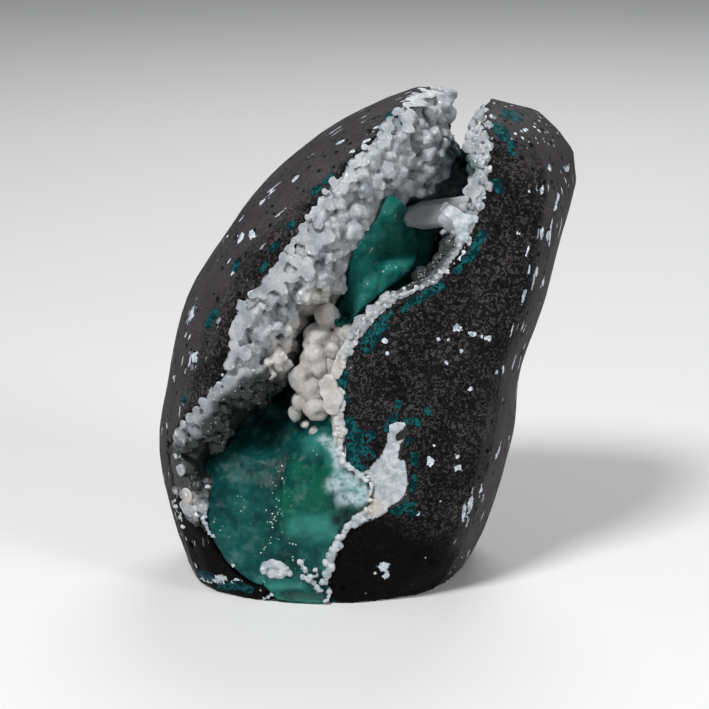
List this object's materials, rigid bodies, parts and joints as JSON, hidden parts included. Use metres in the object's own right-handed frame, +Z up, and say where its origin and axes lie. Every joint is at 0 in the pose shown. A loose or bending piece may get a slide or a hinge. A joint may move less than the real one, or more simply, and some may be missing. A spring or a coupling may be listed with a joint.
{
  "type": "mineral specimen",
  "caption": "Upright ground nodule of dark vesicular basalt, split by a slanting cavity lined with white knobbly druse that holds blue-green apophyllite and grey stilbite blades.",
  "frame": {"origin": "centre of the overall bounding box at its bottom, on the plane that the stone rests on", "axes": "+Z is up, the open face with the cavity looks towards -Y, and the crest leans towards +X"},
  "size_m": [0.0952, 0.068, 0.1115],
  "materials": {
    "basalt": "fine-grained dark vesicular basalt, ground smooth, with pale mineral-filled bubbles and blue-green stains beside the cavity",
    "druse": "milky grey-white knobbly druse with pin-point glints",
    "apophyllite": "glassy, cloudy blue-green crystal",
    "stilbite": "pearly translucent grey-white blades"
  },
  "bodies": {
    "root": {"basalt_matrix": "basalt", "druse_crust": "druse", "apophyllite_lower": "apophyllite", "apophyllite_upper": "apophyllite", "stilbite_blades": "stilbite"}
  },
  "joints": []
}
